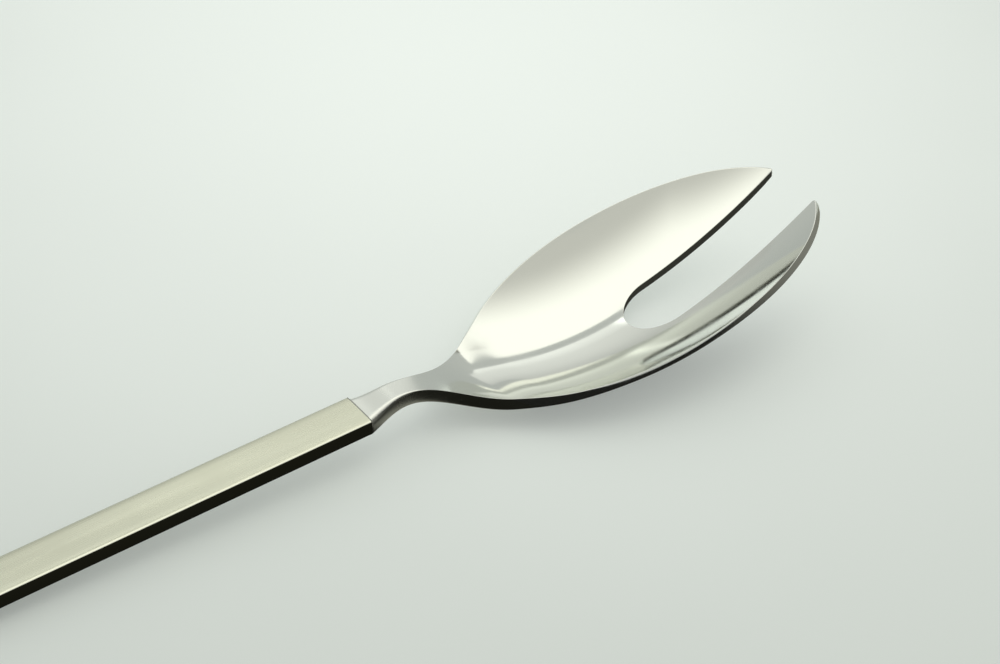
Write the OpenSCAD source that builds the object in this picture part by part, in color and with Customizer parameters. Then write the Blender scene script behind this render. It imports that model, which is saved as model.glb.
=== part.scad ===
// Two-tined salad server: a dished, slotted fork head forged in one with its neck
// and tang, and a slim hollow handle of two pressed half shells bedded on that tang.
// X runs from the butt to the tips, Y across the server, Z up.
// The server lies as it does on a table, on the belly of the bowl and the butt.
// Every piece is drawn with the seam at X = 0 and the handle's upper face at Z = 0,
// and at_rest() then tips and lifts the whole server onto the table.

/* [Handle] */
// Length of the handle, from the butt to the seam at the neck
handle_length = 141; // [110:1:170]
// Width of the handle
handle_width = 9; // [7.5:0.5:13]
// Thickness of the handle
handle_thick = 3.8; // [3.4:0.1:6]
// Sheet thickness of the two pressed shells
shell_wall = 0.6; // [0.4:0.05:0.8]
// Radius of the butt's upper and lower edges
butt_radius = 1.2; // [1:0.1:1.6]
// Width of the broken edge along the handle, the neck and the rim
edge_break = 0.25; // [0.1:0.05:0.35]

/* [Neck] */
// Width of the neck at its waist
neck_width = 5; // [3.6:0.1:7]
// Distance from the seam to the waist
waist_at = 12; // [9:0.5:15]
// Angle at which the neck's sides leave the corners of the handle
neck_sweep = 18; // [8:1:24]
// Thickness of the neck along its middle, at the waist
neck_thick = 4; // [3.4:0.1:5]
// Width of the neck's side face, at the waist
neck_side = 3.3; // [2.4:0.1:3.6]
// Height by which the neck arches above the handle
neck_arch = 1; // [0:0.1:1.5]
// Distance from the seam to the top of that arch
arch_at = 8; // [7:0.5:11]
// Distance from the seam to the heel, where the neck has come down to the bowl
heel_at = 32; // [28:0.5:36]
// Drop of the rim at the heel, below the handle's upper face
heel_drop = 6.3; // [3:0.1:8]

/* [Bowl] */
// Distance from the seam to the widest place of the bowl
widest_at = 73; // [68:0.5:82]
// Width of the bowl
bowl_width = 46; // [36:1:56]
// Length of the half oval behind the widest place
bowl_rear = 43; // [38:0.5:48]
// Length of the half oval ahead of the widest place
bowl_front = 46; // [40:0.5:54]
// Distance behind the widest place at which the oval runs into the neck's flare
flare_length = 31; // [27:0.5:33]
// Depth of the bowl below its rim, at the widest place
bowl_depth = 11; // [6:0.5:13]
// Angle at which the rim rises towards the tips
rim_rise = 9.8; // [5:0.1:13]
// Height of the rim at the widest place, above the handle's upper face
rim_level = -0.2; // [-3:0.1:3]
// Width of the edge face round the rim of the bowl
rim_thick = 1.3; // [1:0.1:2]
// Distance from the seam at which the edge face has thinned to that width
rim_thin_at = 56; // [48:0.5:64]
// Width of the edge face at the tips
tip_edge = 1.7; // [1.2:0.1:2.2]
// Thickness of the metal along the middle line, at the closed end of the slot
floor_thick = 2.2; // [1.6:0.1:3]
// Thickness that the metal beside the slot works up to at the tips
tine_thick = 2.8; // [2:0.1:3.4]

/* [Slot] */
// Width of the slot between the tines
slot_width = 13.2; // [9:0.2:17]
// Distance from the seam to the closed end of the slot
slot_end_at = 71; // [62:0.5:80]
// Length of the half oval that closes the slot
slot_oval = 9; // [5:0.5:12]
// Width of a tine at its blunt tip
tip_width = 0.7; // [0.5:0.1:2]

/* [Tang] */
// Length of the spigot that fills the mouth of the handle
spigot_length = 7; // [4:0.5:12]
// Clearance of the spigot in the mouth, on each side
spigot_gap = 0.05; // [0.02:0.01:0.1]
// Length of the tang behind the spigot
tang_length = 55; // [30:1:75]
// Width of the tang at the spigot
tang_width = 5.4; // [3:0.1:6]
// Width of the tang at its end
tang_end_width = 3.2; // [2:0.1:4]
// Thickness of the tang
tang_thick = 1.6; // [1.2:0.1:1.8]

/* [Hidden] */

// Facets of the fork head: rows across half its width and stations along its length
rows = 10;
neck_stations = 20;
bowl_stations = 12;
oval_stations = 8;
tine_stations = 18;
// Facets of the butt's rounded edges
$fn = 48;

steel_colour = [0.80, 0.80, 0.77];
satin_colour = [0.74, 0.74, 0.70];
cement_colour = [0.42, 0.40, 0.37];

half_bowl = bowl_width / 2;
half_slot = slot_width / 2;
flare_at = widest_at - flare_length;
oval_end_at = slot_end_at + slot_oval;
rim_slope = tan(rim_rise);
mid_height = -handle_thick / 2;
cavity_width = handle_width - 2 * shell_wall;
cavity_thick = handle_thick - 2 * shell_wall;
spigot_width = cavity_width - 2 * spigot_gap;
spigot_thick = cavity_thick - 2 * spigot_gap;
tang_end_at = -spigot_length - tang_length;

// Cubic from v1 at x1 to v2 at x2, leaving with slope s1 and arriving with slope s2
function curve(x, x1, v1, s1, x2, v2, s2) =
    let (span = x2 - x1)
    let (t = (x - x1) / span)
    let (rise = t * t * (3 - 2 * t))
    v1 * (1 - rise) + v2 * rise
    + span * t * (1 - t) * (s1 * (1 - t) - s2 * t);

// The same, level at both ends and constant beyond them
function ease(x, x1, v1, x2, v2) = curve(min(max(x, x1), x2), x1, v1, 0, x2, v2, 0);

// Half width of the bowl's oval, and its slope
function oval_length(x) = x < widest_at ? bowl_rear : bowl_front;
function oval_half(x) = half_bowl * sqrt(1 - pow((x - widest_at) / oval_length(x), 2));
function oval_slope(x) =
    pow(half_bowl / oval_length(x), 2) * (widest_at - x) / oval_half(x);

// Half width of the fork head: swept in to the waist, flared out into the oval
function half_width(x) =
    x < waist_at
        ? curve(x, 0, handle_width / 2, -tan(neck_sweep), waist_at, neck_width / 2, 0)
    : x < flare_at
        ? curve(x, waist_at, neck_width / 2, 0, flare_at, oval_half(flare_at), oval_slope(flare_at))
    : oval_half(x);

// Height of the rim: a low arch, the drop to the heel, then one straight rise to the tips
function straight_rim(x) = rim_level + rim_slope * (x - widest_at);
function rim_height(x) =
    x < arch_at ? ease(x, 0, 0, arch_at, neck_arch)
    : x < heel_at ? ease(x, arch_at, neck_arch, heel_at, -heel_drop)
    : x < flare_at
        ? curve(x, heel_at, -heel_drop, 0, flare_at, straight_rim(flare_at), rim_slope)
    : straight_rim(x);

// Depth of the dish below the rim, at the middle line: a paraboloid that runs out in the neck
function dish(x) =
    bowl_depth * pow(half_width(x) / half_bowl, 2) * ease(x, 0, 0, 2 * waist_at, 1);

// Width of the edge face, and thickness of the metal along the middle line. Both run out from
// the handle's thickness, thin over the bowl and thicken again towards the tips
function edge_width(x) =
    x < waist_at ? ease(x, 0, handle_thick, waist_at, neck_side)
    : x < widest_at ? ease(x, waist_at, neck_side, rim_thin_at, rim_thick)
    : ease(x, widest_at, rim_thick, tip_at, tip_edge);
function middle_thick(x) =
    x < waist_at ? ease(x, 0, handle_thick, waist_at, neck_thick)
    : x < slot_end_at ? ease(x, waist_at, neck_thick, slot_end_at, floor_thick)
    : ease(x, slot_end_at, floor_thick, tip_at, tine_thick);

// Slope of the dish at the rim, along and across the server. The edge face stands square
// to that slope round the bowl and upright along the neck
function squared(x) = ease(x, waist_at, 0, flare_at, 1);
function slope_along(x) =
    let (at = max(x, flare_at))
    squared(x) * (rim_slope + 2 * bowl_depth * (at - widest_at) / pow(oval_length(at), 2));
function slope_across(x) = squared(x) * 2 * dish(x) / half_width(x);

// Half width of the slot
function slot_half(x) =
    x <= slot_end_at ? 0
    : x < oval_end_at ? half_slot * sqrt(1 - pow((oval_end_at - x) / slot_oval, 2))
    : half_slot;

// Station where the oval has closed in to the blunt tip of a tine
tip_at = widest_at + bowl_front * sqrt(1 - pow((half_slot + tip_width) / half_bowl, 2));

// A section is [station, inner half width, outer half width, top at the middle line,
// top at the edge, thickness at the middle line, step down the edge face]
function section(x) =
    let (fall = [slope_along(x), slope_across(x), -1])
    [
        x, slot_half(x), half_width(x), rim_height(x) - dish(x), rim_height(x),
        middle_thick(x), edge_width(x) * fall / norm(fall)
    ];
function bar_section(x, width, thick) = [
    x, 0, width / 2, mid_height + thick / 2, mid_height + thick / 2, thick, [0, 0, -thick]
];

tang_sections = [
    bar_section(tang_end_at, tang_end_width, tang_thick),
    bar_section(-spigot_length, tang_width, tang_thick),
    bar_section(-spigot_length, spigot_width, spigot_thick),
    bar_section(0, spigot_width, spigot_thick)
];
head_stations = concat(
    [for (i = [0 : neck_stations - 1]) flare_at * i / neck_stations],
    [for (i = [0 : bowl_stations - 1]) flare_at + (slot_end_at - flare_at) * i / bowl_stations],
    [for (i = [0 : oval_stations - 1]) slot_end_at + slot_oval * (1 - cos(90 * i / oval_stations))],
    [for (i = [0 : tine_stations]) oval_end_at + (tip_at - oval_end_at) * sin(90 * i / tine_stations)]
);
sections = concat(tang_sections, [for (x = head_stations) section(x)]);
slot_row = len(tang_sections) + neck_stations + bowl_stations;
last_row = len(sections) - 1;

// Points on a section's upper face at a distance y from the middle line, and under it
function share(s, y) = pow(y / s[2], 2);
function upper(s, y) = [s[0], y, s[3] + (s[4] - s[3]) * share(s, y)];
function lower(s, y) = upper(s, y) + s[6] * share(s, y) - [0, 0, s[5]] * (1 - share(s, y));

// One half of a section as a ring: along the top to the rim, down the edge face between
// its broken edges, and back along the underside
function across(s, j) = s[1] + (s[2] - edge_break - s[1]) * j / rows;
function broken(s) = s[6] * edge_break / norm(s[6]);
function ring(s) = concat(
    [for (j = [0 : rows]) upper(s, across(s, j))],
    [upper(s, s[2]) + broken(s), lower(s, s[2]) - broken(s)],
    [for (j = [rows : -1 : 0]) lower(s, across(s, j))]
);
ring_size = 2 * rows + 4;
last_point = ring_size - 1;
half_size = ring_size * len(sections);

// Index of a ring point. Behind the slot the two halves share the points of the middle line
function point_at(half, i, k) =
    let (shared = i <= slot_row && (k == 0 || k == last_point))
    (shared ? 0 : half * half_size) + i * ring_size + k;

// A four-sided patch as two triangles, turned round on the mirrored half
function patch(half, a, b, c, d) =
    half == 0 ? [[a, d, c], [a, c, b]] : [[a, b, c], [a, c, d]];
function patch_between(half, i, k, next) = patch(
    half, point_at(half, i, k), point_at(half, i + 1, k),
    point_at(half, i + 1, next), point_at(half, i, next)
);
function end_patch(half, turned, i, k) = patch(
    turned, point_at(half, i, k), point_at(half, i, k + 1),
    point_at(half, i, last_point - k - 1), point_at(half, i, last_point - k)
);

head_points = [for (side = [1, -1]) for (s = sections) for (p = ring(s)) [p[0], side * p[1], p[2]]];
head_faces = [
    for (half = [0, 1]) each concat(
        [for (i = [0 : last_row - 1]) for (k = [0 : last_point - 1]) each patch_between(half, i, k, k + 1)],
        [for (i = [slot_row : last_row - 1]) each patch_between(half, i, last_point, 0)],
        [for (k = [0 : rows]) each end_patch(half, half, 0, k)],
        [for (k = [0 : rows]) each end_patch(half, 1 - half, last_row, k)]
    )
];

// The server tips about Y until the line under the bowl and the butt is level
belly = [for (s = sections) if (s[0] > 0) lower(s, s[1])];
butt_foot = [butt_radius - handle_length, 0, -handle_thick];
tilt = max([for (p = belly) atan2(butt_foot[2] - p[2], p[0] - butt_foot[0])]);
lift = -butt_foot[0] * sin(tilt) - butt_foot[2] * cos(tilt);
tip_reach = max([for (p = ring(sections[last_row])) p[0] * cos(tilt) - p[2] * sin(tilt)]);
butt_reach = handle_length * cos(tilt);
centring = (butt_reach - tip_reach) / 2;

module at_rest() {
    translate([centring, 0, lift]) rotate([0, -tilt, 0]) children();
}

// Outline of the handle across its length, with broken edges
module handle_section() {
    x = handle_width / 2;
    z = handle_thick;
    e = edge_break;
    polygon([
        [-x + e, 0], [x - e, 0], [x, -e], [x, e - z],
        [x - e, -z], [e - x, -z], [-x, e - z], [-x, -e]
    ]);
}

// Outline of the handle from the side, drawn in by an inset, with the butt's edges rounded
module handle_side(inset) {
    radius = butt_radius - inset;
    height = handle_thick - 2 * inset;
    length = handle_length - inset;
    translate([-length, -handle_thick + inset]) {
        translate([radius, 0]) square([length - radius, height]);
        translate([0, radius]) square([2 * radius, height - 2 * radius]);
        for (z = [radius, height - radius]) translate([radius, z]) circle(radius);
    }
}

module handle_bar() {
    intersection() {
        rotate([90, 0, 90]) mirror([0, 0, 1]) linear_extrude(handle_length) handle_section();
        rotate([90, 0, 0]) linear_extrude(handle_width, center = true) handle_side(0);
    }
}

module handle_cavity() {
    rotate([90, 0, 0]) linear_extrude(cavity_width, center = true) handle_side(shell_wall);
}

// Everything above, or below, the seam along the handle's sides
module handle_half(upper_half) {
    base = upper_half ? mid_height : mid_height - handle_thick;
    translate([-2 * handle_length, -handle_width, base])
        cube([3 * handle_length, 2 * handle_width, handle_thick]);
}

module shell(upper_half) {
    difference() {
        intersection() {
            handle_bar();
            handle_half(upper_half);
        }
        handle_cavity();
    }
}

// Forged head: bowl with two tines, neck, shoulder, spigot and tang in one piece
module fork_head() {
    color(steel_colour) at_rest() polyhedron(head_points, head_faces, convexity = 8);
}

// Upper half of the handle, pressed from sheet as a long tray
module handle_upper_shell() {
    color(satin_colour) at_rest() shell(true);
}

// Lower half of the handle, brazed to the upper one along both sides
module handle_lower_shell() {
    color(satin_colour) at_rest() shell(false);
}

// Space taken by the spigot in the mouth of the handle
module mouth() {
    translate([-spigot_length, -handle_width, -handle_thick])
        cube([2 * spigot_length, 2 * handle_width, handle_thick]);
}

// Outline of the tang from above
module tang_plan() {
    polygon([
        [tang_end_at, -tang_end_width / 2], [-spigot_length, -tang_width / 2],
        [-spigot_length, tang_width / 2], [tang_end_at, tang_end_width / 2]
    ]);
}

// Cement that fills the handle and beds the tang
module handle_filler() {
    color(cement_colour) at_rest() difference() {
        handle_cavity();
        mouth();
        translate([0, 0, mid_height]) linear_extrude(tang_thick, center = true) tang_plan();
    }
}

fork_head();
handle_upper_shell();
handle_lower_shell();
handle_filler();
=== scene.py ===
import bmesh
import bpy
import numpy as np
from mathutils import Matrix, Vector


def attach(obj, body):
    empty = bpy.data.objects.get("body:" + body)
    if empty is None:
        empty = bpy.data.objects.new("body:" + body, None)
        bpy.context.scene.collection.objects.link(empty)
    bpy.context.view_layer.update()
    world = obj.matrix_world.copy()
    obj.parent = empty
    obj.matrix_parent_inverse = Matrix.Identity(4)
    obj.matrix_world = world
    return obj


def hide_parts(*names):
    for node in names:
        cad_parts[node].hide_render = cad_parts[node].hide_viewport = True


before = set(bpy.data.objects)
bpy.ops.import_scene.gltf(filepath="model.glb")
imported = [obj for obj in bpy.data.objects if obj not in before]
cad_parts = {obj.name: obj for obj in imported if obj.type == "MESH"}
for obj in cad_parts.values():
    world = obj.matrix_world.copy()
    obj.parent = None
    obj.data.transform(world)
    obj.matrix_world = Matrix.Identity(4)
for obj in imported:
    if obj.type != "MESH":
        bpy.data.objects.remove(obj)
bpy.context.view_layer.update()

# Fork head: one stainless steel forging with its bowl, two tines, neck, spigot and tang.
# Its edges are softened on a wheel and the head is mirror polished up to the seam. The
# spigot fills the mouth of the handle, and the tang behind it is bedded in cement.

# Sizes in millimetres, with the seam at x = 0 and the handle's upper face at z = 0
MM = 0.001
HANDLE_WIDTH, HANDLE_THICK = 9.0, 3.8
HANDLE_MID = -HANDLE_THICK / 2
WAIST_X, NECK_WIDTH, NECK_SWEEP = 12.0, 5.0, np.radians(18.0)
NECK_THICK, NECK_SIDE = 4.0, 3.3
ARCH_X, ARCH_RISE, HEEL_X, HEEL_DROP = 8.0, 1.0, 32.0, 6.3
WIDEST_X, HALF_BOWL, OVAL_REAR, OVAL_FRONT = 73.0, 23.0, 43.0, 46.0
FLARE_X, BOWL_DEPTH = 42.0, 11.0
RIM_LEVEL, RIM_SLOPE = -0.2, np.tan(np.radians(9.8))
RIM_EDGE, RIM_EDGE_X, TIP_EDGE = 1.3, 56.0, 1.7
FLOOR_THICK, TINE_THICK = 2.2, 2.8
SLOT_END_X, SLOT_OVAL, HALF_SLOT = 71.0, 9.0, 6.6
TIP_WIDTH, TIP_ROUND = 0.7, 0.55
# Station where the oval has closed in to the blunt tip of a tine
TIP_X = WIDEST_X + OVAL_FRONT * np.sqrt(1 - ((HALF_SLOT + TIP_WIDTH) / HALF_BOWL) ** 2)
# Radii of the softened edges: tight, rounder at the tips and under the widest part of the rim, and
# roundest on the shoulder, where they run out along the neck
SOFT_EDGE, TIP_SOFT, TIP_SOFT_RUN = 0.09, 0.24, 12.0
UNDER_EDGE, UNDER_RIM, RIM_ROUND_X = 0.13, 0.38, 22.0
SHOULDER_TOP, SHOULDER_TOP_X, SHOULDER_UNDER = 1.6, 16.0, 0.4
SEAM_CUT = 0.09
SPIGOT_LENGTH, SPIGOT_WIDTH, SPIGOT_THICK = 7.0, 7.7, 2.5
TANG_END_X, TANG_WIDTH, TANG_END_WIDTH, TANG_THICK = -62.0, 5.4, 3.2, 1.6
BAR_EDGE = 0.2
# How the server lies on the table: tipped about Y, then lifted and centred
TILT, LIFT, CENTRING = np.radians(3.29987), 11.845, 11.929


def cubic(x, x1, v1, s1, x2, v2, s2):
    """Cubic from v1 at x1 to v2 at x2 that leaves with slope s1 and arrives with slope s2."""
    span = x2 - x1
    t = (x - x1) / span
    rise = t * t * (3 - 2 * t)
    return v1 * (1 - rise) + v2 * rise + span * t * (1 - t) * (s1 * (1 - t) - s2 * t)


def ease(x, x1, v1, x2, v2):
    """The same cubic, level at both ends and constant beyond them."""
    return cubic(np.clip(x, x1, x2), x1, v1, 0, x2, v2, 0)


def oval_length(x):
    """Half length of the bowl's oval, which is a little longer ahead of its widest place."""
    return np.where(x < WIDEST_X, OVAL_REAR, OVAL_FRONT)


def oval_half(x):
    """Half width of the oval: half_bowl * sqrt(1 - ((x - widest) / length)^2), never quite 0."""
    reach = (x - WIDEST_X) / oval_length(x)
    return HALF_BOWL * np.sqrt(np.maximum(1 - reach * reach, 1e-9))


FLARE_HALF = float(oval_half(np.array(FLARE_X)))
FLARE_SLOPE = (HALF_BOWL / OVAL_REAR) ** 2 * (WIDEST_X - FLARE_X) / FLARE_HALF


def half_width(x):
    """Half width of the head: swept in from the handle to the waist, flared into the oval."""
    swept = cubic(x, 0, HANDLE_WIDTH / 2, -np.tan(NECK_SWEEP), WAIST_X, NECK_WIDTH / 2, 0)
    flared = cubic(x, WAIST_X, NECK_WIDTH / 2, 0, FLARE_X, FLARE_HALF, FLARE_SLOPE)
    return np.where(x < WAIST_X, swept, np.where(x < FLARE_X, flared, oval_half(x)))


def straight_rim(x):
    """Straight rise of the rim towards the tips."""
    return RIM_LEVEL + RIM_SLOPE * (x - WIDEST_X)


def rim_height(x):
    """Height of the rim: a low arch, the drop to the heel, then the straight rise."""
    arch = ease(x, 0, 0, ARCH_X, ARCH_RISE)
    drop = ease(x, ARCH_X, ARCH_RISE, HEEL_X, -HEEL_DROP)
    turn = cubic(x, HEEL_X, -HEEL_DROP, 0, FLARE_X, straight_rim(FLARE_X), RIM_SLOPE)
    low = np.where(x < ARCH_X, arch, np.where(x < HEEL_X, drop, turn))
    return np.where(x < FLARE_X, low, straight_rim(x))


def dish(x):
    """Depth of the dish below the rim: a paraboloid that runs out along the neck."""
    return BOWL_DEPTH * (half_width(x) / HALF_BOWL) ** 2 * ease(x, 0, 0, 2 * WAIST_X, 1)


def faces_of_plate(plan):
    """Upper and lower face over plan points (x, y). The upper face is rim - dish * (1 - share),
    share = (y / half width)^2. The lower one is a step square to the dish away at the rim, and
    straight below by the middle thickness at the middle line, mixed by the same share."""
    x, y = plan[..., 0], plan[..., 1]
    width = half_width(x)
    share = (y / width) ** 2
    top = rim_height(x) - dish(x) * (1 - share)
    shoulder = x < WAIST_X
    thinning = ease(x, WAIST_X, NECK_SIDE, RIM_EDGE_X, RIM_EDGE)
    edge = np.where(
        shoulder,
        ease(x, 0, HANDLE_THICK, WAIST_X, NECK_SIDE),
        np.where(x < WIDEST_X, thinning, ease(x, WIDEST_X, RIM_EDGE, TIP_X, TIP_EDGE)),
    )
    floor = ease(x, WAIST_X, NECK_THICK, SLOT_END_X, FLOOR_THICK)
    middle = np.where(
        shoulder,
        ease(x, 0, HANDLE_THICK, WAIST_X, NECK_THICK),
        np.where(x < SLOT_END_X, floor, ease(x, SLOT_END_X, FLOOR_THICK, TIP_X, TINE_THICK)),
    )
    squared = ease(x, WAIST_X, 0, FLARE_X, 1)
    at = np.maximum(x, FLARE_X)
    along = squared * (RIM_SLOPE + 2 * BOWL_DEPTH * (at - WIDEST_X) / oval_length(at) ** 2)
    across = squared * 2 * dish(x) / width * np.sign(y)
    fall = np.stack([along, across, -np.ones_like(x)], -1)
    step = fall * (edge / np.linalg.norm(fall, axis=-1))[..., None]
    upper = np.stack([x, y, top], -1)
    lower = upper + step * share[..., None]
    lower[..., 2] -= middle * (1 - share)
    return upper, lower


EDGE_STEPS, ROW_STEPS = 6, 30
QUARTER = np.linspace(0, np.pi / 2, EDGE_STEPS + 1)
# Rows across a face lie close together beside its soft edges, so that reflections stay true
ROW_SHARE = np.concatenate([[0, 0.006], np.linspace(0.03, 0.97, ROW_STEPS), [0.994, 1]])


def soft_edge(edge, inward, radius):
    """Quarter round at an outline: plan points radius * (1 - sin a) inside it, and depths
    radius * (1 - cos a) below the face, for a from 0 on the face to 90 degrees on the wall."""
    inset = radius[:, None] * (1 - np.sin(QUARTER))
    plan = edge[:, None] + inward[:, None] * inset[..., None]
    return plan, radius[:, None] * (1 - np.cos(QUARTER))


def between(inner, outer):
    """Rows of plan points from an inner to an outer curve."""
    return inner[:, None] + (outer - inner)[:, None] * ROW_SHARE[None, :, None]


# A depth just under zero asks for the lower face itself
LOWER_FACE = -1e-9


def sunk(plan, depth):
    """Points at a depth below the upper face, or above the lower one where it is negative."""
    upper, lower = faces_of_plate(plan)
    wall = lower - upper
    part = (depth / np.linalg.norm(wall, axis=-1))[..., None]
    return np.where(depth[..., None] < 0, lower, upper) + wall * part


def outer_chain(top_inner, bottom_inner, outer, inward, above, below):
    """Half a section: over the top to the rim, round its two soft edges, back underneath."""
    upper_plan, upper_depth = soft_edge(outer, inward, above)
    lower_plan, lower_depth = soft_edge(outer, inward, below)
    top = between(top_inner, upper_plan[:, 0])
    bottom = between(bottom_inner, lower_plan[:, 0])[:, ::-1]
    level = np.zeros(top.shape[:2])
    return np.concatenate(
        [
            sunk(top, level),
            sunk(upper_plan[:, 1:], upper_depth[:, 1:]),
            sunk(lower_plan[:, :0:-1], -lower_depth[:, :0:-1]),
            sunk(bottom, level + LOWER_FACE),
        ],
        axis=1,
    )


def inner_chain(edge, inward, above, below):
    """The slot's wall with its two soft edges, from the underside up to the top."""
    upper_plan, upper_depth = soft_edge(edge, inward, above)
    lower_plan, lower_depth = soft_edge(edge, inward, below)
    return np.concatenate(
        [
            sunk(lower_plan[:, 1:], -lower_depth[:, 1:]),
            sunk(upper_plan[:, :0:-1], upper_depth[:, :0:-1]),
        ],
        axis=1,
    )


def under_round(x):
    """Radius under the rim: largest at the bowl's widest place and tight away from it."""
    return ease(np.abs(x - WIDEST_X), 0, UNDER_RIM, RIM_ROUND_X, UNDER_EDGE)


def outline_inward(x, step=1e-4):
    """Direction in plan from the outer outline into the metal: square to the outline's slope,
    which is taken over a small step to both sides and is level at the seam."""
    slope = (half_width(x + step) - half_width(x - step)) / (2 * step)
    slope = slope * ease(x, 0, 0, WAIST_X, 1)
    inward = np.stack([slope, -np.ones_like(x)], -1)
    return inward / np.linalg.norm(inward, axis=-1, keepdims=True)


def bar_chain(x, width, thick, radius=BAR_EDGE):
    """Half a section of the spigot or tang: a bar in the middle of the handle's thickness, with
    quarter-round edges."""
    half, top, bottom = width / 2, HANDLE_MID + thick / 2, HANDLE_MID - thick / 2
    inset = radius * (1 - np.sin(QUARTER))
    drop = radius * (1 - np.cos(QUARTER))
    rows = (half - radius) * ROW_SHARE
    y = np.concatenate([rows, half - inset[1:], half - inset[:0:-1], rows[::-1]])
    z = np.concatenate([0 * rows + top, top - drop[1:], bottom + drop[:0:-1], 0 * rows + bottom])
    return np.stack([0 * y + x, y, z], -1)


def quads(count, width, start=0, closed=False):
    """Four-sided faces of a grid of count chains of width points, closed round or open."""
    i = start + width * np.arange(count - 1)[:, None]
    k = np.arange(width if closed else width - 1)[None, :]
    n = (k + 1) % width
    return np.stack([i + k, i + n, i + width + n, i + width + k], -1).reshape(-1, 4)


def cap(width, start=0):
    """Faces across the end of an open chain, from its upper to its lower points."""
    k = np.arange(width // 2 - 1)
    return start + np.stack([k, width - 1 - k, width - 2 - k, k + 1], -1)


def mirrored(points, faces):
    """A half and its mirror image across y = 0, with the image's faces turned round."""
    image = points * np.array([1, -1, 1])
    return np.concatenate([points, image]), np.concatenate([faces, faces[:, ::-1] + len(points)])


def at_rest(points):
    """From the seam's frame in millimetres to the table's in metres."""
    x, y, z = points[:, 0], points[:, 1], points[:, 2]
    c, s = np.cos(TILT), np.sin(TILT)
    return np.stack([CENTRING + x * c - z * s, y, LIFT + x * s + z * c], -1) * MM


# In metres, points closer than MERGE become one and faces thinner than SLIVER go. Edges that turn
# by more than CRISP stay crisp.
MERGE, SLIVER, CRISP = 1e-6, 1e-8, np.radians(40.0)


def closed_piece(name, points, faces):
    """Mesh object of the points laid on the table, with its seams closed and faces outwards."""
    mesh = bpy.data.meshes.new(name)
    mesh.from_pydata(at_rest(points).tolist(), [], faces.tolist())
    work = bmesh.new()
    work.from_mesh(mesh)
    bmesh.ops.remove_doubles(work, verts=work.verts, dist=MERGE)
    bmesh.ops.dissolve_degenerate(work, edges=work.edges, dist=SLIVER)
    bmesh.ops.recalc_face_normals(work, faces=work.faces)
    work.to_mesh(mesh)
    work.free()
    mesh.shade_smooth()
    mesh.set_sharp_from_angle(angle=CRISP)
    piece = bpy.data.objects.new(name, mesh)
    bpy.context.scene.collection.objects.link(piece)
    return piece


# Bowl and neck behind the slot, from the seam to the root of the slot
NECK_COUNT, BOWL_COUNT, OVAL_COUNT, TINE_COUNT, TIP_COUNT = 90, 44, 26, 64, 10
back_x = np.concatenate(
    [
        np.linspace(SEAM_CUT, FLARE_X, NECK_COUNT, endpoint=False),
        np.linspace(FLARE_X, SLOT_END_X - SOFT_EDGE, BOWL_COUNT),
    ]
)
back_inner = np.stack([back_x, 0 * back_x], -1)
back_under = back_inner - [[UNDER_EDGE - SOFT_EDGE, 0]] * (back_x == back_x[-1])[:, None]
back_outer = np.stack([back_x, half_width(back_x)], -1)
back_above = ease(back_x, 0, SHOULDER_TOP, SHOULDER_TOP_X, SOFT_EDGE)
back_below = np.maximum(ease(back_x, 0, SHOULDER_UNDER, WAIST_X, 0), under_round(back_x))
back_in = outline_inward(back_x)
back = outer_chain(back_inner, back_under, back_outer, back_in, back_above, back_below)

# Spigot and tang, and the small chamfer of the seam
seam_width, seam_thick = HANDLE_WIDTH - 2 * SEAM_CUT, HANDLE_THICK - 2 * SEAM_CUT
tang = np.stack(
    [
        bar_chain(TANG_END_X, TANG_END_WIDTH, TANG_THICK),
        bar_chain(-SPIGOT_LENGTH, TANG_WIDTH, TANG_THICK),
        bar_chain(-SPIGOT_LENGTH, SPIGOT_WIDTH, SPIGOT_THICK),
        bar_chain(0, SPIGOT_WIDTH, SPIGOT_THICK),
        bar_chain(0, seam_width, seam_thick, SOFT_EDGE),
    ]
)
back = np.concatenate([tang, back])

# Tines: the slot's half oval, its straight edges, and the rounded tips. The tip's circle
# touches the slot's edge and the rim, so its centre is where the inset rim meets that height.
turn = np.linspace(0, np.pi / 2, OVAL_COUNT)
oval_edge = np.stack([SLOT_END_X + SLOT_OVAL * (1 - np.cos(turn)), HALF_SLOT * np.sin(turn)], -1)
oval_in = np.stack([-np.cos(turn) / SLOT_OVAL, np.sin(turn) / HALF_SLOT], -1)
oval_in /= np.linalg.norm(oval_in, axis=-1, keepdims=True)
oval_outer_x = oval_edge[:, 0] + SOFT_EDGE * oval_in[:, 0]

# Angles on the oval round about the tip, fine enough to pick the one where the circle touches
lean = np.linspace(0.9, 1.5, 4000)
rim_normal = np.stack([np.sin(lean) / OVAL_FRONT, np.cos(lean) / HALF_BOWL], -1)
rim_normal /= np.linalg.norm(rim_normal, axis=-1, keepdims=True)
rim_point = np.stack([WIDEST_X + OVAL_FRONT * np.sin(lean), HALF_BOWL * np.cos(lean)], -1)
inset_rim = rim_point - TIP_ROUND * rim_normal
touch = np.argmin(np.abs(inset_rim[:, 1] - HALF_SLOT - TIP_ROUND))
tip_centre = np.array([inset_rim[touch, 0], HALF_SLOT + TIP_ROUND])
tip_rim_angle = np.arctan2(rim_normal[touch, 1], rim_normal[touch, 0])
tip_angle = (tip_rim_angle - np.pi / 2) / 2

run = np.sin(np.linspace(0, np.pi / 2, TINE_COUNT))[1:]
straight_end_x = SLOT_END_X + SLOT_OVAL
straight_x = straight_end_x + (tip_centre[0] - straight_end_x) * run
straight_outer_x = straight_end_x + (rim_point[touch, 0] - straight_end_x) * run
inner_turn = np.linspace(-np.pi / 2, tip_angle, TIP_COUNT)[1:]
outer_turn = np.linspace(tip_rim_angle, tip_angle, TIP_COUNT)[1:]
inner_ray = np.stack([np.cos(inner_turn), np.sin(inner_turn)], -1)
outer_ray = np.stack([np.cos(outer_turn), np.sin(outer_turn)], -1)

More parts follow.
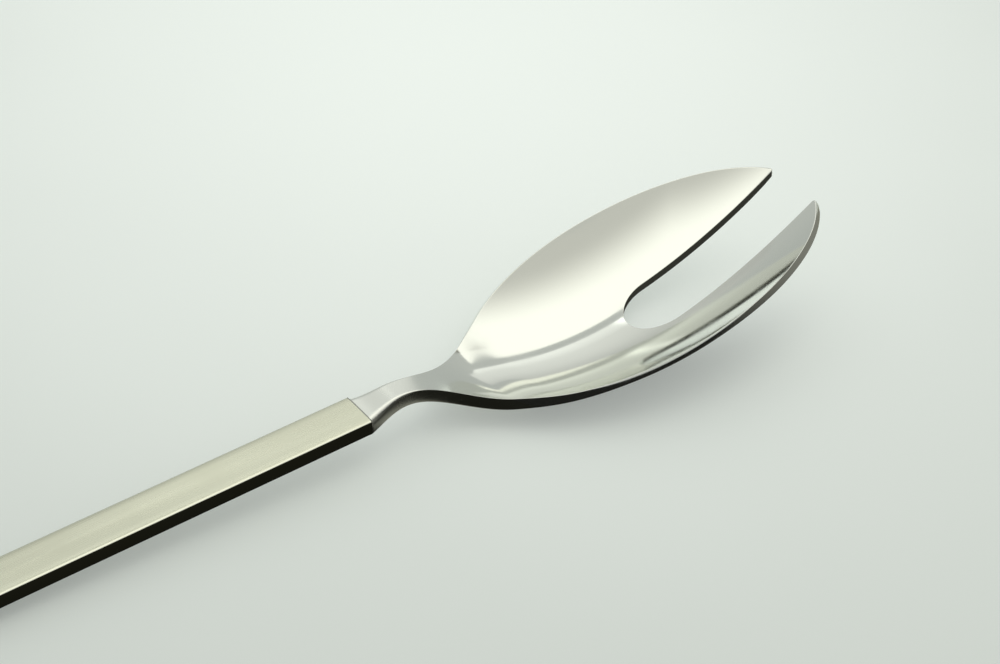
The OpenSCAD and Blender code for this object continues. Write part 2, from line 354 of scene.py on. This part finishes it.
slot_edge = np.concatenate(
    [
        oval_edge,
        np.stack([straight_x, np.full_like(straight_x, HALF_SLOT)], -1),
        tip_centre + TIP_ROUND * inner_ray,
    ]
)
slot_in = np.concatenate([oval_in, np.tile([0.0, 1.0], (len(straight_x), 1)), -inner_ray])
rim_x = np.concatenate([oval_outer_x, straight_outer_x])
rim_edge = np.concatenate(
    [np.stack([rim_x, half_width(rim_x)], -1), tip_centre + TIP_ROUND * outer_ray]
)
rim_in = np.concatenate([outline_inward(rim_x), -outer_ray])
above = ease(slot_edge[:, 0], TIP_X - TIP_SOFT_RUN, SOFT_EDGE, TIP_X, TIP_SOFT)
below = np.full(len(slot_edge), UNDER_EDGE)
rim_below = under_round(rim_edge[:, 0])
slot_top, slot_bottom = slot_edge + above[:, None] * slot_in, slot_edge + UNDER_EDGE * slot_in
tine = np.concatenate(
    [
        outer_chain(slot_top, slot_bottom, rim_edge, rim_in, above, rim_below),
        inner_chain(slot_edge, slot_in, above, below),
    ],
    axis=1,
)

back_points = back.reshape(-1, 3)
head_points = np.concatenate([back_points, tine.reshape(-1, 3)])
head_faces = np.concatenate(
    [
        quads(back.shape[0], back.shape[1]),
        cap(back.shape[1]),
        quads(tine.shape[0], tine.shape[1], start=len(back_points), closed=True),
    ]
)
fork_head = closed_piece("polished_fork_head", *mirrored(head_points, head_faces))
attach(fork_head, "root")
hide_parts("fork_head")


def seam_frame(nodes, scale=(MM, MM, MM)):
    """Texture coordinates in the seam's own frame, divided by a size for each axis."""
    coords = nodes.new("ShaderNodeTexCoord")
    place = nodes.new("ShaderNodeMapping")
    place.vector_type = "TEXTURE"
    place.inputs["Location"].default_value = (CENTRING * MM, 0, LIFT * MM)
    place.inputs["Rotation"].default_value = (0, -TILT, 0)
    place.inputs["Scale"].default_value = scale
    nodes.id_data.links.new(coords.outputs["Object"], place.inputs["Vector"])
    return place.outputs["Vector"]


def new_material(name):
    """Empty node material with its Principled shader."""
    material = bpy.data.materials.new(name)
    material.use_nodes = True
    nodes = material.node_tree.nodes
    return material, nodes, material.node_tree.links, nodes["Principled BSDF"]


def math(tree, kind, a, b=None, clamp=False):
    """Math node on sockets or plain numbers."""
    node = tree.nodes.new("ShaderNodeMath")
    node.operation = kind
    node.use_clamp = clamp
    for socket, value in zip(node.inputs, (a, b)):
        if isinstance(value, bpy.types.NodeSocket):
            tree.links.new(value, socket)
        elif value is not None:
            socket.default_value = value
    return node.outputs[0]


def ramp(tree, value, low, high, to_low=0.0, to_high=1.0):
    """Smooth step of a value from low to high."""
    node = tree.nodes.new("ShaderNodeMapRange")
    node.interpolation_type = "SMOOTHSTEP"
    limits = {"From Min": low, "From Max": high, "To Min": to_low, "To Max": to_high}
    for name, number in limits.items():
        node.inputs[name].default_value = number
    tree.links.new(value, node.inputs["Value"])
    return node.outputs["Result"]


def noise(tree, vector, scale, detail=3.0):
    """Noise texture on given coordinates."""
    node = tree.nodes.new("ShaderNodeTexNoise")
    node.inputs["Scale"].default_value = scale
    node.inputs["Detail"].default_value = detail
    tree.links.new(vector, node.inputs["Vector"])
    return node.outputs["Fac"]


def mix_colour(tree, share, first, second):
    """Mix of two colours, given as sockets or as plain values."""
    node = tree.nodes.new("ShaderNodeMix")
    node.data_type = "RGBA"
    tree.links.new(share, node.inputs["Factor"])
    for socket, value in ((node.inputs[6], first), (node.inputs[7], second)):
        if isinstance(value, bpy.types.NodeSocket):
            tree.links.new(value, socket)
        else:
            socket.default_value = (*value, 1.0)
    return node.outputs[2]


def roughen(tree, shader, height, strength, depth):
    """Fine relief of a height from 0 to 1 over a depth in millimetres, as the shader's normal."""
    bump = tree.nodes.new("ShaderNodeBump")
    bump.inputs["Strength"].default_value = strength
    bump.inputs["Distance"].default_value = depth * MM
    tree.links.new(height, bump.inputs["Height"])
    tree.links.new(bump.outputs["Normal"], shader.inputs["Normal"])


# Dulled patches some 15 mm wide, two sets of hairlines, each with its turn and its own shift, and
# how far from the seam the painted shade of its groove reaches
HAZE_SCALE, HAZE_FROM, HAZE_TO = 0.07, 0.45, 0.7
HAIRLINES, HAIRLINE_STRETCH = ((0.5, 11.0), (-0.9, 47.0)), (0.05, 5.0, 0.3)
HAIRLINE_FROM, HAIRLINE_TO = 0.68, 0.74
SEAM_SHADE_FULL, SEAM_SHADE_GONE = 0.08, 0.2


def handling_and_seam_shade_group():
    """Wear that both finishes share, on coordinates in millimetres: patches dulled by hands and
    washing, hairline scratches from other cutlery, and painted shade that darkens the seam groove
    at x = 0."""
    group = bpy.data.node_groups.new("handling_and_seam_shade", "ShaderNodeTree")
    group.interface.new_socket("Place", in_out="INPUT", socket_type="NodeSocketVector")
    for name in ("Haze", "Scratch", "Seam"):
        group.interface.new_socket(name, in_out="OUTPUT", socket_type="NodeSocketFloat")
    start = group.nodes.new("NodeGroupInput").outputs["Place"]
    end = group.nodes.new("NodeGroupOutput")
    haze = ramp(group, noise(group, start, HAZE_SCALE, 4.0), HAZE_FROM, HAZE_TO)
    lines = None
    for angle, shift in HAIRLINES:
        turned = group.nodes.new("ShaderNodeMapping")
        turned.inputs["Rotation"].default_value = (0, 0, angle)
        turned.inputs["Location"].default_value = (shift, shift, shift)
        group.links.new(start, turned.inputs["Vector"])
        thin = group.nodes.new("ShaderNodeMapping")
        thin.inputs["Scale"].default_value = HAIRLINE_STRETCH
        group.links.new(turned.outputs["Vector"], thin.inputs["Vector"])
        strokes = noise(group, thin.outputs["Vector"], 1.0, 2.0)
        line = ramp(group, strokes, HAIRLINE_FROM, HAIRLINE_TO)
        lines = line if lines is None else math(group, "MAXIMUM", lines, line)
    axes = group.nodes.new("ShaderNodeSeparateXYZ")
    group.links.new(start, axes.inputs["Vector"])
    from_seam = math(group, "ABSOLUTE", axes.outputs["X"])
    # Painted shade in the seam groove: full at the seam, gone a little way from it
    seam = ramp(group, from_seam, SEAM_SHADE_FULL, SEAM_SHADE_GONE, 1.0, 0.0)
    for socket, value in (("Haze", haze), ("Scratch", lines), ("Seam", seam)):
        group.links.new(value, end.inputs[socket])
    return group


handling_and_seam_shade = handling_and_seam_shade_group()
# The second colour is painted shade, which darkens the seam groove as if it lay in shade
POLISHED_COLOUR, SEAM_PAINTED_SHADE = (0.785, 0.80, 0.74), (0.45, 0.45, 0.41)
# Roughness of the polish, what haze and hairlines add to it, and how strong and deep hairlines are
POLISH, HAZE_DULL, HAIRLINE_DULL = 0.08, 0.05, 0.06
HAIRLINE_RELIEF, HAIRLINE_DEPTH = 0.03, 0.02
# The neck keeps some of the handle's satin, which runs out in the heel of the bowl: the
# stations where it starts to fade and is gone, and the roughness it adds
NECK_SATIN = ((4.0, 18.0, 0.12), (10.0, 32.0, 0.08))

polished, nodes, links, shader = new_material("mirror_polished_steel")
tree = polished.node_tree
wear_and_seam_shade = nodes.new("ShaderNodeGroup")
wear_and_seam_shade.node_tree = handling_and_seam_shade
place = seam_frame(nodes)
links.new(place, wear_and_seam_shade.inputs["Place"])
shader.inputs["Metallic"].default_value = 1.0
# Painted shade darkens the colour in the seam groove
colour = mix_colour(tree, wear_and_seam_shade.outputs["Seam"], POLISHED_COLOUR, SEAM_PAINTED_SHADE)
links.new(colour, shader.inputs["Base Color"])
rough = math(tree, "MULTIPLY", wear_and_seam_shade.outputs["Haze"], HAZE_DULL)
rough = math(tree, "ADD", rough, math(tree, "MULTIPLY", wear_and_seam_shade.outputs["Scratch"], HAIRLINE_DULL))
axes = nodes.new("ShaderNodeSeparateXYZ")
links.new(place, axes.inputs["Vector"])
for fades_from, gone_at, satin_rough in NECK_SATIN:
    left_over = ramp(tree, axes.outputs["X"], fades_from, gone_at, satin_rough, 0.0)
    rough = math(tree, "ADD", rough, left_over)
links.new(math(tree, "ADD", rough, POLISH), shader.inputs["Roughness"])
roughen(tree, shader, wear_and_seam_shade.outputs["Scratch"], HAIRLINE_RELIEF, HAIRLINE_DEPTH)
fork_head.data.materials.append(polished)

# Handle shells: two long trays pressed from stainless sheet and brazed to each other along
# the handle's sides, then brazed to the head at the seam. The broad faces are brushed along
# the length to a satin finish, and the edges are rubbed brighter by hands and cloths.
HANDLE_LENGTH, SHELL_WALL = 141.0, 0.6
SIDE_ROLL, SIDE_DROP, ROLL_END = 1.8, 0.35, 14.0
BUTT_EDGE, BUTT_CORNER, INNER_EDGE = 1.2, 1.3, 0.15
SIDE_COUNT, CORNER_COUNT, BUTT_COUNT = 60, 12, 10

side_x = np.concatenate([[0.0], -np.linspace(SEAM_CUT, HANDLE_LENGTH - BUTT_CORNER, SIDE_COUNT)])
bend = np.linspace(np.pi / 2, np.pi, CORNER_COUNT)[1:]
bend_ray = np.stack([np.cos(bend), np.sin(bend)], -1)
corner = np.array([BUTT_CORNER - HANDLE_LENGTH, HANDLE_WIDTH / 2 - BUTT_CORNER])
butt_y = np.linspace(corner[1], 0, BUTT_COUNT)[1:]
path = np.concatenate(
    [
        np.stack([side_x, np.full_like(side_x, HANDLE_WIDTH / 2)], -1),
        corner + BUTT_CORNER * bend_ray,
        np.stack([np.full_like(butt_y, -HANDLE_LENGTH), butt_y], -1),
    ]
)
path_in = np.concatenate(
    [np.tile([0.0, -1.0], (len(side_x), 1)), -bend_ray, np.tile([1.0, 0.0], (len(butt_y), 1))]
)
spine = np.stack([np.maximum(path[:, 0], HANDLE_WIDTH / 2 - HANDLE_LENGTH), 0 * path[:, 0]], -1)
at_butt = np.concatenate([0 * side_x, (bend - np.pi / 2) / (np.pi / 2), 0 * butt_y + 1])
roll_from, roll_to = HANDLE_LENGTH - ROLL_END, HANDLE_LENGTH - BUTT_CORNER
roll = ease(-path[:, 0], roll_from, SIDE_ROLL, roll_to, BUTT_EDGE)
roll_drop = ease(at_butt, 0, SIDE_DROP, 1, BUTT_EDGE)


def tray_skin(inset, depth, radius, drop):
    """One skin of a tray, from the spine out over the face, rolled off at the edge by
    radius * (1 - sin a) in plan and drop * (1 - cos a) in depth, and down to the joint."""
    plan, sink = soft_edge(path + path_in * inset[:, None], path_in, radius)
    face = between(spine, plan[:, 0])
    z = np.concatenate(
        [
            np.tile(-depth[:, None], (1, face.shape[1])),
            -depth[:, None] - sink[:, 1:] * (drop / radius)[:, None],
            np.full((len(path), 1), HANDLE_MID),
        ],
        axis=1,
    )
    return np.concatenate([np.concatenate([face, plan[:, 1:], plan[:, -1:]], 1), z[..., None]], -1)


mouth = np.concatenate([[SEAM_CUT], 0 * path[1:, 0]])
outer_skin = tray_skin(mouth, mouth, roll, roll_drop)
inner_round = ease(at_butt, 0, INNER_EDGE, 1, BUTT_EDGE - SHELL_WALL)
wall = np.full(len(path), SHELL_WALL)
inner_skin = tray_skin(wall, wall, inner_round, inner_round)
tray = np.concatenate([outer_skin, inner_skin[:, ::-1]], axis=1)
tray_faces = np.concatenate([quads(tray.shape[0], tray.shape[1]), cap(tray.shape[1])])
upper_points, shell_faces = mirrored(tray.reshape(-1, 3), tray_faces)
lower_points = upper_points * [1, 1, -1] - [0, 0, HANDLE_THICK]
upper_shell = closed_piece("satin_upper_shell", upper_points, shell_faces)
lower_shell = closed_piece("satin_lower_shell", lower_points, shell_faces)

SATIN_COLOUR, SATIN_SHADE = (0.745, 0.75, 0.60), (0.72, 0.725, 0.575)
# Brush marks are tens of millimetres long and a fraction of one across, over broader streaks
MARK_SIZE, STREAK_SIZE = (40 * MM, 0.22 * MM, 0.22 * MM), (60 * MM, 2.5 * MM, 2.5 * MM)
MARK_SHARE, STREAK_SHARE, MARK_RELIEF, MARK_DEPTH = 0.6, 0.4, 0.07, 0.03
# Most of a noise lies between these values
NOISE_LOW, NOISE_HIGH = 0.35, 0.65
# Roughness of the satin, what marks and haze add, and what rubbing and the smooth sides take off
SATIN, MARK_ROUGH, HAZE_ROUGH, RUB_SMOOTH, SIDE_SMOOTH = 0.2, 0.16, 0.04, 0.14, 0.7
# Bands along the edges, from their inner to their outer border inside the handle's outline
RUB_IN, RUB_OUT, RUB_SHARE, SIDE_IN, SIDE_OUT = 0.5, 0.1, 0.5, 0.12, 0.02
satin, nodes, links, shader = new_material("brushed_satin_steel")
tree = satin.node_tree
wear_and_seam_shade = nodes.new("ShaderNodeGroup")
wear_and_seam_shade.node_tree = handling_and_seam_shade
place = seam_frame(nodes)
links.new(place, wear_and_seam_shade.inputs["Place"])
marks = noise(tree, seam_frame(nodes, MARK_SIZE), 1.0, 4.0)
streaks = noise(tree, seam_frame(nodes, STREAK_SIZE), 1.0, 2.0)
axes = nodes.new("ShaderNodeSeparateXYZ")
links.new(place, axes.inputs["Vector"])
across = math(tree, "ABSOLUTE", axes.outputs["Y"])
height = math(tree, "ABSOLUTE", math(tree, "SUBTRACT", axes.outputs["Z"], HANDLE_MID))
half, thick = HANDLE_WIDTH / 2, HANDLE_THICK / 2
near_side = ramp(tree, across, half - RUB_IN, half - RUB_OUT)
near_face = ramp(tree, height, thick - RUB_IN, thick - RUB_OUT)
rubbed = math(tree, "MULTIPLY", math(tree, "MULTIPLY", near_side, near_face), RUB_SHARE)
tone = math(tree, "MULTIPLY", marks, MARK_SHARE)
tone = math(tree, "ADD", tone, math(tree, "MULTIPLY", streaks, STREAK_SHARE))
colour = mix_colour(tree, ramp(tree, tone, NOISE_LOW, NOISE_HIGH), SATIN_SHADE, SATIN_COLOUR)
colour = mix_colour(tree, rubbed, colour, POLISHED_COLOUR)
# Painted shade darkens the colour in the seam groove
colour = mix_colour(tree, wear_and_seam_shade.outputs["Seam"], colour, SEAM_PAINTED_SHADE)
links.new(colour, shader.inputs["Base Color"])
shader.inputs["Metallic"].default_value = 1.0
rough = math(tree, "ADD", math(tree, "MULTIPLY", marks, MARK_ROUGH), SATIN)
rough = math(tree, "ADD", rough, math(tree, "MULTIPLY", wear_and_seam_shade.outputs["Haze"], HAZE_ROUGH))
rough = math(tree, "SUBTRACT", rough, math(tree, "MULTIPLY", rubbed, RUB_SMOOTH), clamp=True)
side_kept = ramp(tree, across, half - SIDE_IN, half - SIDE_OUT, 1.0, 1.0 - SIDE_SMOOTH)
links.new(math(tree, "MULTIPLY", rough, side_kept), shader.inputs["Roughness"])
# Brushing along the length spreads reflections across it
shader.inputs["Anisotropic"].default_value = 0.7
brushing = nodes.new("ShaderNodeTangent")
brushing.direction_type = "RADIAL"
brushing.axis = "Z"
links.new(brushing.outputs["Tangent"], shader.inputs["Tangent"])
roughen(tree, shader, marks, MARK_RELIEF, MARK_DEPTH)

for shell, node in ((upper_shell, "handle_upper_shell"), (lower_shell, "handle_lower_shell")):
    shell.data.materials.append(satin)
    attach(shell, "root")
    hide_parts(node)

# Handle filler: resin cement poured into the shells round the tang, where it sets dull and
# grainy. It is sealed in, so the plain solid stays and only gets its material.
CEMENT_PALE, CEMENT_DARK = (0.46, 0.44, 0.40), (0.33, 0.31, 0.28)
GRAIN_SCALE, GRAIN_RELIEF, GRAIN_DEPTH = 2.5, 1.0, 0.1
CEMENT_SMOOTH, CEMENT_ROUGH = 0.75, 0.95
cement, nodes, links, shader = new_material("resin_cement")
tree = cement.node_tree
grain = noise(tree, seam_frame(nodes), GRAIN_SCALE, 5.0)
colour = mix_colour(tree, ramp(tree, grain, NOISE_LOW, NOISE_HIGH), CEMENT_DARK, CEMENT_PALE)
links.new(colour, shader.inputs["Base Color"])
rough = ramp(tree, grain, 0.2, 0.8, CEMENT_SMOOTH, CEMENT_ROUGH)
links.new(rough, shader.inputs["Roughness"])
roughen(tree, shader, grain, GRAIN_RELIEF, GRAIN_DEPTH)
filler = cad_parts["handle_filler"]
filler.data.materials.clear()
filler.data.materials.append(cement)

# Table: a wide pale sheet with a faint green cast that the server lies on. It glows a little to
# the camera and in reflections, paler than the light makes it, so that shadows stay weak.
TABLE_REACH, TABLE_LIFT = 12.0, 0.42
TABLE_POOL_COLOUR, TABLE_PAINTED_SHADE = (0.724, 0.765, 0.734), (0.505, 0.535, 0.507)
# Painted pool of light: the sheet's colour is palest round this place and falls off to painted
# shade over these distances in metres
PAINTED_POOL_AT, FADE_FROM, FADE_TO = (0.12, 0.12, 0.0), 0.02, 0.32
MOTTLE_SCALE, MOTTLE_SHIFT = 8.0, 0.04


def card(name, corners, material):
    """Flat stage card through its corners in metres."""
    mesh = bpy.data.meshes.new(name)
    mesh.from_pydata(corners, [], [list(range(len(corners)))])
    mesh.materials.append(material)
    piece = bpy.data.objects.new(name, mesh)
    bpy.context.scene.collection.objects.link(piece)
    return piece


def only_in_reflections(piece):
    """A studio flag that the steel mirrors, and that neither shades nor shows."""
    piece.visible_camera = False
    piece.visible_diffuse = False
    piece.visible_shadow = False
    piece.visible_transmission = False


sheet, nodes, links, shader = new_material("pale_table_sheet")
tree = sheet.node_tree
coords = nodes.new("ShaderNodeTexCoord").outputs["Object"]
away = nodes.new("ShaderNodeVectorMath")
away.operation = "DISTANCE"
away.inputs[1].default_value = PAINTED_POOL_AT
links.new(coords, away.inputs[0])
mottle = math(tree, "MULTIPLY", noise(tree, coords, MOTTLE_SCALE, 2.0), MOTTLE_SHIFT)
fade = ramp(tree, math(tree, "ADD", away.outputs["Value"], mottle), FADE_FROM, FADE_TO)
# The sheet's colour, and its glow with it, carry the painted pool of light and painted shade
sheet_painted_pool = mix_colour(tree, fade, TABLE_POOL_COLOUR, TABLE_PAINTED_SHADE)
links.new(sheet_painted_pool, shader.inputs["Base Color"])
links.new(sheet_painted_pool, shader.inputs["Emission Color"])
rays = nodes.new("ShaderNodeLightPath").outputs
lifted = math(tree, "MAXIMUM", rays["Is Camera Ray"], rays["Is Glossy Ray"])
links.new(math(tree, "MULTIPLY", lifted, TABLE_LIFT), shader.inputs["Emission Strength"])
shader.inputs["Roughness"].default_value = 1.0
shader.inputs["Specular IOR Level"].default_value = 0.0
# From below the sheet is clear, so that the server's underside can be looked at
from_below = nodes.new("ShaderNodeNewGeometry").outputs["Backfacing"]
links.new(math(tree, "SUBTRACT", 1.0, from_below), shader.inputs["Alpha"])
r = TABLE_REACH
card("table_sheet", [(-r, -r, 0), (r, -r, 0), (r, r, 0), (-r, r, 0)], sheet)

# Light: a large softbox overhead and a dimmer panel beyond it, with a narrow gap between them
# that draws the line through the bowl. On the camera's side a dark screen and flat flags, which
# only the steel mirrors, make its edges dark.
CEILING = 1.0


def glowing_cloth(name, tint):
    """Emission material: its tree, the X and Y of a place on it, and its Strength socket."""
    material = bpy.data.materials.new(name)
    material.use_nodes = True
    tree = material.node_tree
    tree.nodes.clear()
    axes = tree.nodes.new("ShaderNodeSeparateXYZ")
    tree.links.new(tree.nodes.new("ShaderNodeTexCoord").outputs["Object"], axes.inputs["Vector"])
    emission = tree.nodes.new("ShaderNodeEmission")
    emission.inputs["Color"].default_value = (*tint, 1.0)
    out = tree.nodes.new("ShaderNodeOutputMaterial")
    tree.links.new(emission.outputs["Emission"], out.inputs["Surface"])
    return material, tree, axes.outputs["X"], axes.outputs["Y"], emission.inputs["Strength"]


def overhead(name, plan, material):
    """Card at the ceiling's height, never seen by the camera itself."""
    card(name, [(x, y, CEILING) for x, y in plan], material).visible_camera = False


# The softbox is brightest in the middle and falls off towards the camera and the handle
SOFTBOX_TINT, SOFTBOX_DIM, SOFTBOX_BRIGHT = (1.0, 1.0, 0.94), 0.65, 1.3
SOFTBOX_DIM_Y, SOFTBOX_BRIGHT_Y, SOFTBOX_SKEW = -0.68, -0.1, 1.3
cloth, tree, place_x, place_y, strength = glowing_cloth("softbox_cloth", SOFTBOX_TINT)
behind = math(tree, "MULTIPLY", math(tree, "MINIMUM", place_x, 0.0), SOFTBOX_SKEW)
skewed = math(tree, "ADD", place_y, behind)
glow = ramp(tree, skewed, SOFTBOX_DIM_Y, SOFTBOX_BRIGHT_Y, SOFTBOX_DIM, SOFTBOX_BRIGHT)
tree.links.new(glow, strength)
SOFTBOX_PLAN = [(-0.9, -0.85), (1.27, -0.85), (1.27, 0.54), (0.45, 0.36), (-0.9, -0.02)]
overhead("softbox", SOFTBOX_PLAN, cloth)
# The panel is brightest along the gap, fades away from it and is a little dimmer over the handle
PANEL_TINT, PANEL_SKEW, PANEL_EDGE = (0.98, 1.0, 0.97), 0.25, 0.3875
PANEL_NEAR, PANEL_FAR, PANEL_REACH = 0.86, 0.59, 1.6
GAP_GLOW, GAP_REACH = 0.22, 0.3
DIM_SHARE, FULL_SHARE, FULL_X = 0.88, 1.04, 0.9
# A brighter patch of it shows along the middle of the handle
PATCH_X, PATCH_HALF, PATCH_GLOW, PATCH_FROM, PATCH_TO = 0.38, 0.07, 0.7, 0.4, 0.8
cloth, tree, place_x, place_y, strength = glowing_cloth("far_panel_cloth", PANEL_TINT)
from_gap = math(tree, "SUBTRACT", place_y, math(tree, "MULTIPLY", place_x, PANEL_SKEW))
from_gap = math(tree, "SUBTRACT", from_gap, PANEL_EDGE)
glow = ramp(tree, from_gap, 0.0, PANEL_REACH, PANEL_NEAR, PANEL_FAR)
glow = math(tree, "ADD", glow, ramp(tree, from_gap, 0.0, GAP_REACH, GAP_GLOW, 0.0))
patch_rise = ramp(tree, place_x, PATCH_X - PATCH_HALF, PATCH_X)
patch_fall = ramp(tree, place_x, PATCH_X, PATCH_X + PATCH_HALF, 1.0, 0.0)
patch = math(tree, "MULTIPLY", patch_rise, patch_fall)
patch = math(tree, "MULTIPLY", patch, ramp(tree, from_gap, PATCH_FROM, PATCH_TO, PATCH_GLOW, 0.0))
glow = math(tree, "ADD", glow, patch)
share = ramp(tree, place_x, 0.0, FULL_X, DIM_SHARE, FULL_SHARE)
tree.links.new(math(tree, "MULTIPLY", glow, share), strength)
PANEL_PLAN = [
    (-0.25, 0.325), (1.2, 0.6875), (1.45, 0.8), (1.85, 1.12), (2.3, 1.4),
    (2.3, 2.6), (0.45, 2.6), (0.1, 1.7), (-0.25, 1.0),
]
overhead("far_panel", PANEL_PLAN, cloth)


def flag_cloth(name, black, tint, glow):
    """Black cloth with a faint even glow, which sets the tone that the steel mirrors."""
    material, _, _, shader = new_material(name)
    shader.inputs["Base Color"].default_value = (*black, 1.0)
    shader.inputs["Roughness"].default_value = 1.0
    shader.inputs["Specular IOR Level"].default_value = 0.0
    shader.inputs["Emission Color"].default_value = (*tint, 1.0)
    shader.inputs["Emission Strength"].default_value = glow
    return material


# The screen bends round the camera's side and fades from black to grey towards the tips
SCREEN_REACH, SCREEN_TOP, SCREEN_FROM, SCREEN_TO, SCREEN_COUNT = 0.8, 0.62, -150, 12, 28
SCREEN_CLOTH, SCREEN_TINT = (0.004, 0.004, 0.004), (1.0, 1.0, 0.9)
SCREEN_BLACK, SCREEN_GREY, BLACK_X, GREY_X = 0.01, 0.24, 0.35, 0.82
screen = flag_cloth("dark_screen_cloth", SCREEN_CLOTH, SCREEN_TINT, SCREEN_BLACK)
tree = screen.node_tree
axes = tree.nodes.new("ShaderNodeSeparateXYZ")
tree.links.new(tree.nodes.new("ShaderNodeTexCoord").outputs["Object"], axes.inputs["Vector"])
glow = ramp(tree, axes.outputs["X"], BLACK_X, GREY_X, SCREEN_BLACK, SCREEN_GREY)
tree.links.new(glow, tree.nodes["Principled BSDF"].inputs["Emission Strength"])
arc = np.radians(np.linspace(SCREEN_FROM, SCREEN_TO, SCREEN_COUNT))
rail = np.stack([SCREEN_REACH * np.cos(arc), SCREEN_REACH * np.sin(arc), 0 * arc], -1)
screen_points = np.concatenate([rail, rail + [0, 0, SCREEN_TOP]])
screen_mesh = bpy.data.meshes.new("dark_screen")
screen_mesh.from_pydata(screen_points.tolist(), [], quads(2, len(arc)).tolist())
screen_mesh.materials.append(screen)
dark_screen = bpy.data.objects.new("dark_screen", screen_mesh)
bpy.context.scene.collection.objects.link(dark_screen)
only_in_reflections(dark_screen)

# Flags just above the table: black beside the handle, dark grey under the bowl as painted shade
# there that the steel mirrors, and a mid grey beside the neck and beyond the tips
FLAG_HEIGHT, FLAG_CLOTH = 0.0005, (0.006, 0.006, 0.005)
black_flag = flag_cloth("black_flag_cloth", FLAG_CLOTH, (1.0, 1.0, 0.75), 0.007)
# Dark grey cloth: painted shade under the bowl, seen only in the steel's reflections
bowl_shade_flag = flag_cloth("bowl_shade_flag_cloth", FLAG_CLOTH, (1.0, 1.0, 0.85), 0.035)
pale_flag = flag_cloth("pale_flag_cloth", FLAG_CLOTH, (1.0, 1.0, 0.85), 0.24)
HANDLE_PLAN = [
    (-0.127, -0.12), (-0.55, -0.55), (-0.55, -0.7), (0.05, -0.7), (0.05, -0.008),
    (0.035, -0.0105), (0.023, -0.0105), (0.023, 0.004), (-0.127, 0.004),
]
SHADE_UNDER_BOWL_PLAN = [(0.05, -0.7), (0.12, -0.7), (0.2, -0.2), (0.2, 0.011), (0.07, 0.011), (0.05, -0.008)]
NECK_PLAN = [(0.023, -0.0105), (0.035, -0.0105), (0.05, -0.008), (0.05, 0.01), (0.023, 0.01)]
TIPS_PLAN = [(0.12, -0.7), (0.6, -0.5), (0.8, -0.2), (0.8, 0.02), (0.2, 0.02), (0.2, -0.2)]
for name, plan, cloth in (
    ("flag_on_table", HANDLE_PLAN, black_flag),
    ("painted_shade_under_bowl", SHADE_UNDER_BOWL_PLAN, bowl_shade_flag),
    ("flag_beside_neck", NECK_PLAN, pale_flag),
    ("flag_beyond_tips", TIPS_PLAN, pale_flag),
):
    only_in_reflections(card(name, [(x, y, FLAG_HEIGHT) for x, y in plan], cloth))

# The room gives an even pale light, a little brighter from above
ROOM_LEVEL, ROOM_ABOVE, ROOM_SEEN = (0.495, 0.52, 0.505), (0.56, 0.58, 0.565), (0.53, 0.565, 0.53)
world = bpy.data.worlds.new("studio")
bpy.context.scene.world = world
world.use_nodes = True
tree = world.node_tree
direction = tree.nodes.new("ShaderNodeTexCoord").outputs["Generated"]
axes = tree.nodes.new("ShaderNodeSeparateXYZ")
tree.links.new(direction, axes.inputs["Vector"])
room = mix_colour(tree, ramp(tree, axes.outputs["Z"], 0.0, 0.6), ROOM_LEVEL, ROOM_ABOVE)
seen = tree.nodes.new("ShaderNodeLightPath").outputs["Is Camera Ray"]
room = mix_colour(tree, seen, room, ROOM_SEEN)
tree.links.new(room, tree.nodes["Background"].inputs["Color"])

bpy.context.scene.view_settings.view_transform = "Standard"

# Camera: a long lens above the near side, towards the handle's end. It is turned a little about
# its own axis, as the photograph was taken.
LOOK_AT, DISTANCE = Vector((0.049526, 0.003067, 0.014)), 0.49908
AZIMUTH, ELEVATION, ROLL = np.radians(-40.708), np.radians(37.836), np.radians(5.809)
FOCAL_MM, SENSOR_MM = 85.975, 36.0
towards = Vector(
    (np.sin(AZIMUTH) * np.cos(ELEVATION), -np.cos(AZIMUTH) * np.cos(ELEVATION), np.sin(ELEVATION))
)
lens = bpy.data.cameras.new("photo_camera")
lens.sensor_width = SENSOR_MM
lens.lens = FOCAL_MM
lens.clip_start = 0.01
camera = bpy.data.objects.new("photo_camera", lens)
bpy.context.scene.collection.objects.link(camera)
turned = towards.to_track_quat("Z", "Y").to_matrix().to_4x4() @ Matrix.Rotation(ROLL, 4, "Z")
camera.matrix_world = Matrix.Translation(LOOK_AT + towards * DISTANCE) @ turned
bpy.context.scene.camera = camera
